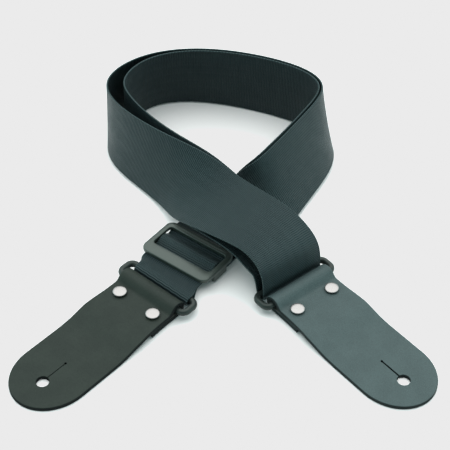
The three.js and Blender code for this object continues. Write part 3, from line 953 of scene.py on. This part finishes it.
def leather_outline():
    """The flat leather's edge (distance along, across), anticlockwise from the tail's corner."""
    tip_start, tip_length, half_width, step = 85.5, 29.0, 25.0, 0.8
    distances = np.arange(0, flat_distance(tip_start), step)
    from_bar = side_view_at(distances)[:, 0]
    side = [(distance, leather_half_width(x)) for distance, x in zip(distances, from_bar)]
    tip = []
    for angle in np.linspace(math.pi / 2, 0, 48)[:-1]:
        x = tip_start + tip_length * math.cos(angle)
        tip.append((float(flat_distance(x)), half_width * math.sin(angle)))
    half = side + tip
    end = [(float(flat_distance(LEATHER_LENGTH)), 0.0)]
    return np.array([(d, -v) for d, v in half] + end + [(d, v) for d, v in reversed(half)])


def keyhole_outline(slit_width):
    """The button hole with its slit and the slit's round stop, anticlockwise."""
    hole, radius, stop, stop_radius = 94.5, 4.1, 75.5, 0.75
    half = slit_width / 2
    hole_angle = math.asin(half / radius)
    stop_angle = math.asin(min(half / stop_radius, 1))
    points = []
    for a in np.linspace(math.pi + hole_angle, 3 * math.pi - hole_angle, 44):
        points.append((hole + radius * math.cos(a), radius * math.sin(a)))
    upper_side = np.linspace(hole - radius, stop + stop_radius, 16)[1:-1]
    points += [(x, half) for x in upper_side]
    for a in np.linspace(stop_angle, 2 * math.pi - stop_angle, 14):
        points.append((stop + stop_radius * math.cos(a), stop_radius * math.sin(a)))
    points += [(x, -half) for x in upper_side[::-1]]
    return np.array([(float(flat_distance(x)), y) for x, y in points])


def inset_loop(loop, distance):
    """The loop moved sideways into the material on its left."""
    before, after = np.roll(loop, 1, axis=0), np.roll(loop, -1, axis=0)
    tangent = after - before
    tangent /= np.linalg.norm(tangent, axis=1)[:, None]
    return loop + distance * np.column_stack([-tangent[:, 1], tangent[:, 0]])


def inside(points, loop):
    """Which points lie inside a closed loop."""
    x, y = points[:, 0], points[:, 1]
    result = np.zeros(len(points), bool)
    for (x1, y1), (x2, y2) in zip(loop, np.roll(loop, -1, axis=0)):
        crosses = (y1 > y) != (y2 > y)
        if y1 != y2:
            result ^= crosses & (x < (x2 - x1) * (y - y1) / (y2 - y1) + x1)
    return result


def leather_face(outline, keyhole):
    """Triangles between the outline and the keyhole. The loops' points come first, in order."""
    fold_step, step, to_edge = 0.9, 1.8, 0.55
    fine_to, coarse_from = FOLD_AT + 16, FOLD_AT + 17
    fold_zone = np.arange(fold_step, fine_to, fold_step)
    rest = np.arange(coarse_from, outline[:, 0].max(), step)
    across = np.arange(-24.3, 25, step)
    grid = np.array([(d, v) for d in np.concatenate([fold_zone, rest]) for v in across])
    loops = np.vstack([outline, keyhole])
    grid = grid[inside(grid, outline) & ~inside(grid, keyhole)]
    gaps = np.linalg.norm(grid[:, None] - loops[None], axis=2).min(axis=1)
    grid = grid[gaps > to_edge]
    points = np.vstack([loops, grid])
    n, m = len(outline), len(keyhole)
    edges = [(i, (i + 1) % n) for i in range(n)] + [(n + i, n + (i + 1) % m) for i in range(m)]
    _, _, faces, originals, _, _ = geometry.delaunay_2d_cdt(
        [Vector(p) for p in points], edges, [], 0, 1e-5)
    number = [o[0] if o else -1 for o in originals]
    centres = np.array([np.mean([points[number[i]] for i in f], axis=0) for f in faces])
    keep = inside(centres, outline) & ~inside(centres, keyhole)
    return points, [tuple(number[i] for i in f) for f, k in zip(faces, keep) if k]


def fold(flat):
    """Flat leather points (along, across, height) carried to the folded shape beside the ring."""
    reach = 0.3
    x, z = side_view_at(flat[:, 0]).T
    tangent = side_view_at(flat[:, 0] + reach) - side_view_at(flat[:, 0] - reach)
    tangent /= np.linalg.norm(tangent, axis=1)[:, None]
    return np.column_stack([
        x - tangent[:, 1] * flat[:, 2], flat[:, 1], z + tangent[:, 0] * flat[:, 2]])


def leather_solid(slit_width):
    """The flat leather, rounded along its edges: points (along, across, height) and faces."""
    outline, keyhole = leather_outline(), keyhole_outline(slit_width)
    half = LEATHER / 2
    bevel, keyhole_bevel = 0.55, min(0.3, 0.12 + slit_width / 4)
    inset_outline = inset_loop(outline, bevel)
    inset_keyhole = inset_loop(keyhole, -keyhole_bevel)
    face_points, triangles = leather_face(inset_outline, inset_keyhole)
    n = len(face_points)
    top = np.column_stack([face_points, np.full(n, half)])
    bottom = np.column_stack([face_points, np.full(n, -half)])
    flat = [top, bottom]
    faces = list(triangles) + [tuple(i + n for i in reversed(t)) for t in triangles]
    start = 0
    for loop, size, sign in ((outline, bevel, 1), (keyhole, keyhole_bevel, -1)):
        count = len(loop)
        rows = [np.arange(start, start + count)]
        for angle in (30, 60, 90, -90, -60, -30):
            turn = math.radians(abs(angle))
            edge = inset_loop(loop, sign * size * (1 - math.sin(turn)))
            height = math.copysign(half - size + size * math.cos(turn), angle)
            rows.append(sum(len(f) for f in flat) + np.arange(count))
            flat.append(np.column_stack([edge, np.full(count, height)]))
        rows.append(np.arange(n + start, n + start + count))
        for upper, lower in zip(rows, rows[1:]):
            for j in range(count):
                k = (j + 1) % count
                quad = (upper[j], lower[j], lower[k], upper[k])
                faces.append(tuple(int(i) for i in quad))
        start += count
    return np.vstack(flat), faces


def make_leather(name, place, material, body, node, slit_width):
    """Cut, folded round the bar, and dished a little at the rivets."""
    dish_depth, dish_radius = 0.45, 5.6
    flat, faces = leather_solid(slit_width)
    points = fold(flat)
    x, y = points[:, 0], points[:, 1]
    on_top = (flat[:, 0] > FOLD_AT) & (flat[:, 2] > 0)
    for side in (-1, 1):
        apart = np.hypot(x - RIVET_FROM_BAR, y - side * RIVET_HALF_SPACING)
        points[:, 2] -= on_top * dish_depth * np.exp(-(apart / dish_radius) ** 4)
    piece = make_piece(name, place_points(place, points), faces, material, flat, sharp=60)
    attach(piece, body)
    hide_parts(node)


# ---------------------------------------- rivets

def lathe(profile, x, y, sides=64):
    """A turned solid from (radius, z) points that start and end on its axis."""
    profile = np.array(profile, float)
    angles = np.linspace(0, 2 * math.pi, sides, endpoint=False)
    points = [(x, y, profile[0, 1])]
    for radius, z in profile[1:-1]:
        points += [(x + radius * math.cos(a), y + radius * math.sin(a), z) for a in angles]
    points.append((x, y, profile[-1, 1]))
    rows = len(profile) - 2
    faces = []
    for j in range(sides):
        k = (j + 1) % sides
        faces.append((0, 1 + k, 1 + j))
        for i in range(rows - 1):
            a, b = 1 + i * sides, 1 + (i + 1) * sides
            faces.append((a + j, a + k, b + k, b + j))
        end = 1 + (rows - 1) * sides
        faces.append((end + j, end + k, len(points) - 1))
    return np.array(points), faces


def make_rivet(side_name, index, place, body):
    """One double-cap rivet: a domed cap on the grain side and a flatter one on the flesh side."""
    y = (-1 if index == 1 else 1) * RIVET_HALF_SPACING
    radius, sunk, height, wall = 4.6, 0.4, 2.3, 1.6
    base = LEAF_TOP - sunk
    dome = [(radius * math.cos(a) ** 0.6, base + wall + (height - wall) * math.sin(a))
            for a in np.radians(np.linspace(12, 84, 12))]
    cap = [(0, base), (radius - 0.8, base), (radius - 0.2, base + 0.5), (radius, base + wall)]
    cap += dome + [(0, base + height)]
    back_radius, post_radius, post_top = 4.2, 1.3, base + 0.2
    back = [(0, 0.05), (2.6, 0.05), (back_radius - 0.5, 0.14), (back_radius, 0.4),
            (back_radius - 0.2, 0.75), (post_radius, 0.8), (post_radius, post_top), (0, post_top)]
    for kind, part, profile in (("cap", "head", cap), ("post", "back", back)):
        points, faces = lathe(profile, RIVET_FROM_BAR, y)
        name = f"{side_name}_rivet_{part}_{index}"
        piece = make_piece(name, place_points(place, points), faces, nickel_plate, sharp=45)
        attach(piece, body)
        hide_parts(f"{side_name}_rivet_{kind}_{index}")


# ---------------------------------------- the table, light and camera

def make_floor():
    half = 6000.0
    corners = [(-half, -half, 0), (half, -half, 0), (half, half, 0), (-half, half, 0)]
    s = Shader.of_material("pale_paper")
    speckle = s.noise(s.millimetres(), 0.5, 2.0)
    colour = s.mix(speckle, (0.80, 0.80, 0.80), (0.81, 0.81, 0.81))
    material = s.finish(Base_Color=colour, Roughness=0.9)
    floor = make_piece("floor", corners, [(0, 1, 2, 3)], material)


def make_light():
    """A pale studio all round: bright overhead, behind and to both sides, dim in front."""
    overhead_light, side_light, front_light, ambient = 3.4, 4.2, 0.55, 0.36
    overhead_colour, fill_colour = (1, 0.99, 0.98), (0.72, 1, 0.99)
    world = bpy.data.worlds.new("studio")
    bpy.context.scene.world = world
    s = Shader(world)
    direction = s.add("ShaderNodeTexCoord").outputs["Generated"]
    x, y, z = s.add("ShaderNodeSeparateXYZ", {0: direction}).outputs
    towards_box = s.math("MULTIPLY_ADD", y, 0.35, s.math("MULTIPLY", z, 0.94))
    overhead = s.between(towards_box, 0.45, 0.95, 0.0, overhead_light)
    low = s.math("POWER", s.math("SUBTRACT", 1.0, s.math("ABSOLUTE", z)), 2.0)
    sides = s.math("MULTIPLY", s.math("MULTIPLY", s.math("MULTIPLY", x, x), low), side_light)
    front = s.math("MULTIPLY", s.between(y, -1.0, -0.3, 1.0, 0.0), low)
    fill = s.math("ADD", s.math("MULTIPLY_ADD", front, front_light, sides), ambient)
    strength = s.math("ADD", fill, overhead)
    colour = s.mix(s.math("DIVIDE", fill, strength), overhead_colour, fill_colour)
    studio = s.add("ShaderNodeBackground", {0: colour, 1: strength})
    backdrop = s.add("ShaderNodeBackground", {0: (1.0, 1.0, 1.0, 1.0), 1: 1.3})
    seen = s.add("ShaderNodeLightPath").outputs["Is Camera Ray"]
    mixed = s.add("ShaderNodeMixShader", {0: seen, 1: studio.outputs[0], 2: backdrop.outputs[0]})
    output = s.add("ShaderNodeOutputWorld")
    s.tree.links.new(mixed.outputs[0], output.inputs[0])


def make_tone():
    """White clips to the pale grey of the table, as in an evenly overexposed studio picture."""
    view = bpy.context.scene.view_settings
    view.view_transform = "Standard"
    view.use_curve_mapping = True
    curves = view.curve_mapping
    curves.extend = "HORIZONTAL"
    white = 0.83
    points = curves.curves[3].points
    points[1].location = (1.0, white)
    for point in points:
        point.handle_type = "VECTOR"
    curves.update()


def make_camera():
    data = bpy.data.cameras.new("camera")
    data.sensor_width = 36.0
    data.lens = 98.64
    data.clip_start, data.clip_end = 0.01, 50.0
    camera = bpy.data.objects.new("camera", data)
    bpy.context.scene.collection.objects.link(camera)
    distance, elevation = 850.3, math.radians(43.17)
    back = np.array([0.0, -math.cos(elevation), math.sin(elevation)])
    camera.location = metres(back * distance)
    camera.rotation_mode = "QUATERNION"
    camera.rotation_quaternion = Vector(-back).to_track_quat("-Z", "Y")
    bpy.context.scene.camera = camera


# ---------------------------------------- assembly

make_webbing()
make_stitches()
make_adjuster()
for side, place, material, slit in (
    ("left", LEFT_RING_PLACE, left_leather, 0.4),
    ("right", RIGHT_RING_PLACE, right_leather, 0.9),
):
    make_ring(f"{side}_bar_ring", place, f"{side}_ring", f"{side}_ring")
    make_leather(
        f"{side}_leather", place, material, f"{side}_end", f"{side}_leather_end",
        slit)
    for number in (1, 2):
        make_rivet(side, number, place, f"{side}_end")
make_floor()
make_light()
make_tone()
make_camera()
